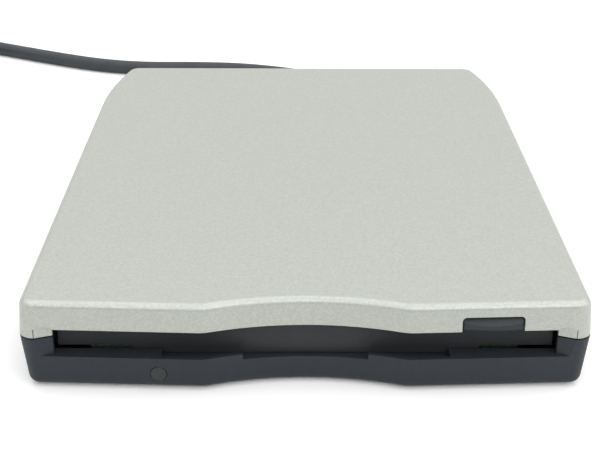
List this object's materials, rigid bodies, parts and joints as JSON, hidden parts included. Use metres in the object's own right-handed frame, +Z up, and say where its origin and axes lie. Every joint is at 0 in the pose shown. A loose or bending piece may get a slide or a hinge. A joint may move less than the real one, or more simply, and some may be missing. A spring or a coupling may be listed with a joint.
{
  "type": "external floppy disk drive",
  "caption": "Slim external floppy drive: silver cover on a dark tray, scalloped front with dust door and eject button, disk cradle, spindle and head carriage inside, captive lead with plug.",
  "frame": {"origin": "centre of the case's footprint, on the plane the rubber feet stand on", "axes": "+X to the right seen from the disk slot, +Y from the slot to the rear, +Z up"},
  "size_m": [0.2229, 0.228, 0.018],
  "materials": {
    "dark_plastic": "moulded charcoal plastic, fine texture",
    "silver_paint": "silver metallic paint on moulded plastic",
    "foot_rubber": "soft black rubber",
    "screw_steel": "black zinc",
    "zinc_steel": "zinc-plated sheet",
    "bearing_brass": "sintered",
    "copper_coils": "enamelled copper on a laminated core",
    "bright_steel": "turned or pressed",
    "ferrite": "moulded ferrite",
    "button_plastic": "moulded charcoal plastic",
    "spring_steel": "spring wire",
    "inner_plastic": "glass-filled",
    "door_plastic": "moulded charcoal plastic",
    "lens_plastic": "smoked translucent",
    "led_resin": "clear green",
    "board_green": "solder mask",
    "chip_resin": "moulded resin",
    "socket_plastic": "natural nylon",
    "ribbon_film": "polyimide film",
    "head_ceramic": "ferrite in ceramic",
    "cord_jacket": "slate grey soft jacket",
    "wire_pvc": "insulated wires",
    "plug_nickel": "nickel-plated"
  },
  "bodies": {
    "housing": {"base_shell": "dark_plastic", "top_cover": "silver_paint", "rubber_feet": "foot_rubber", "case_screws": "screw_steel", "chassis_screws": "screw_steel", "board_screws": "screw_steel", "drive_chassis": "zinc_steel", "chassis_lid": "zinc_steel", "motor_base": "zinc_steel", "spindle_bearing": "bearing_brass", "stator_coils": "copper_coils", "slider_springs": "spring_steel", "door_spring": "spring_steel", "led_lens": "lens_plastic", "activity_led": "led_resin", "control_board": "board_green", "controller_chips": "chip_resin", "media_switches": "inner_plastic", "bridge_board": "board_green", "bridge_chip": "chip_resin", "ribbon_sockets": "socket_plastic", "ribbon_cable": "ribbon_film", "guide_rods": "bright_steel", "stepper_motor": "bright_steel", "track_sensor": "chip_resin", "cord_gland": "cord_jacket", "lead_header": "socket_plastic", "lead_wires": "wire_pvc", "lead_cord": "cord_jacket", "lead_tail": "cord_jacket", "lead_coil": "cord_jacket", "plug_body": "cord_jacket", "plug_shell": "plug_nickel", "plug_tongue": "socket_plastic"},
    "door": {"slot_door": "door_plastic"},
    "slider": {"eject_slider": "zinc_steel", "eject_button": "button_plastic"},
    "cradle": {"disk_cradle": "zinc_steel"},
    "trigger": {"trigger_lever": "inner_plastic"},
    "spindle": {"spindle_rotor": "bright_steel", "rotor_magnet": "ferrite", "disk_chuck": "bright_steel", "drive_pin": "bright_steel"},
    "carriage": {"head_carriage": "inner_plastic", "lower_head": "head_ceramic"},
    "head_arm": {"upper_head_arm": "bright_steel", "upper_head": "head_ceramic"},
    "screw": {"lead_screw": "bright_steel"}
  },
  "joints": [
    {"name": "door_swing", "type": "hinge", "parent": "housing", "child": "door", "pos_m": [0, -0.0644, 0.0124], "axis": [1, 0, 0], "range_deg": [0, 85], "stiffness_Nm_per_rad": 0.0002, "deforming": ["door_spring"]},
    {"name": "eject_slide", "type": "slide", "parent": "housing", "child": "slider", "axis": [0, -1, 0], "range_m": [0, 0.0045], "deforming": ["slider_springs"]},
    {"name": "cradle_drop", "type": "slide", "parent": "housing", "child": "cradle", "axis": [0, 0, -1], "range_m": [0, 0.0024]},
    {"name": "trigger_turn", "type": "hinge", "parent": "housing", "child": "trigger", "pos_m": [-0.04, 0.04, 0.0125], "axis": [0, 0, 1], "range_deg": [0, 41.81]},
    {"name": "spindle_turn", "type": "hinge", "parent": "housing", "child": "spindle", "pos_m": [0, -0.0136, 0.004], "axis": [0, 0, 1], "continuous": true},
    {"name": "head_travel", "type": "slide", "parent": "housing", "child": "carriage", "axis": [0, -1, 0], "range_m": [0, 0.0148]},
    {"name": "arm_lower", "type": "hinge", "parent": "carriage", "child": "head_arm", "pos_m": [0, 0.0499, 0.00975], "axis": [1, 0, 0], "range_deg": [0, 10.5]},
    {"name": "screw_turn", "type": "hinge", "parent": "housing", "child": "screw", "pos_m": [-0.015, 0.0499, 0.0082], "axis": [0, 1, 0], "range_deg": [0, 1776.01]}
  ],
  "couplings": [
    {"joint": "cradle_drop", "follows": "eject_slide", "ratio": 0.53333},
    {"joint": "trigger_turn", "follows": "eject_slide", "rad_per_m": 162.12},
    {"joint": "arm_lower", "follows": "eject_slide", "rad_per_m": 40.724},
    {"joint": "screw_turn", "follows": "head_travel", "rad_per_m": 2094.4}
  ]
}
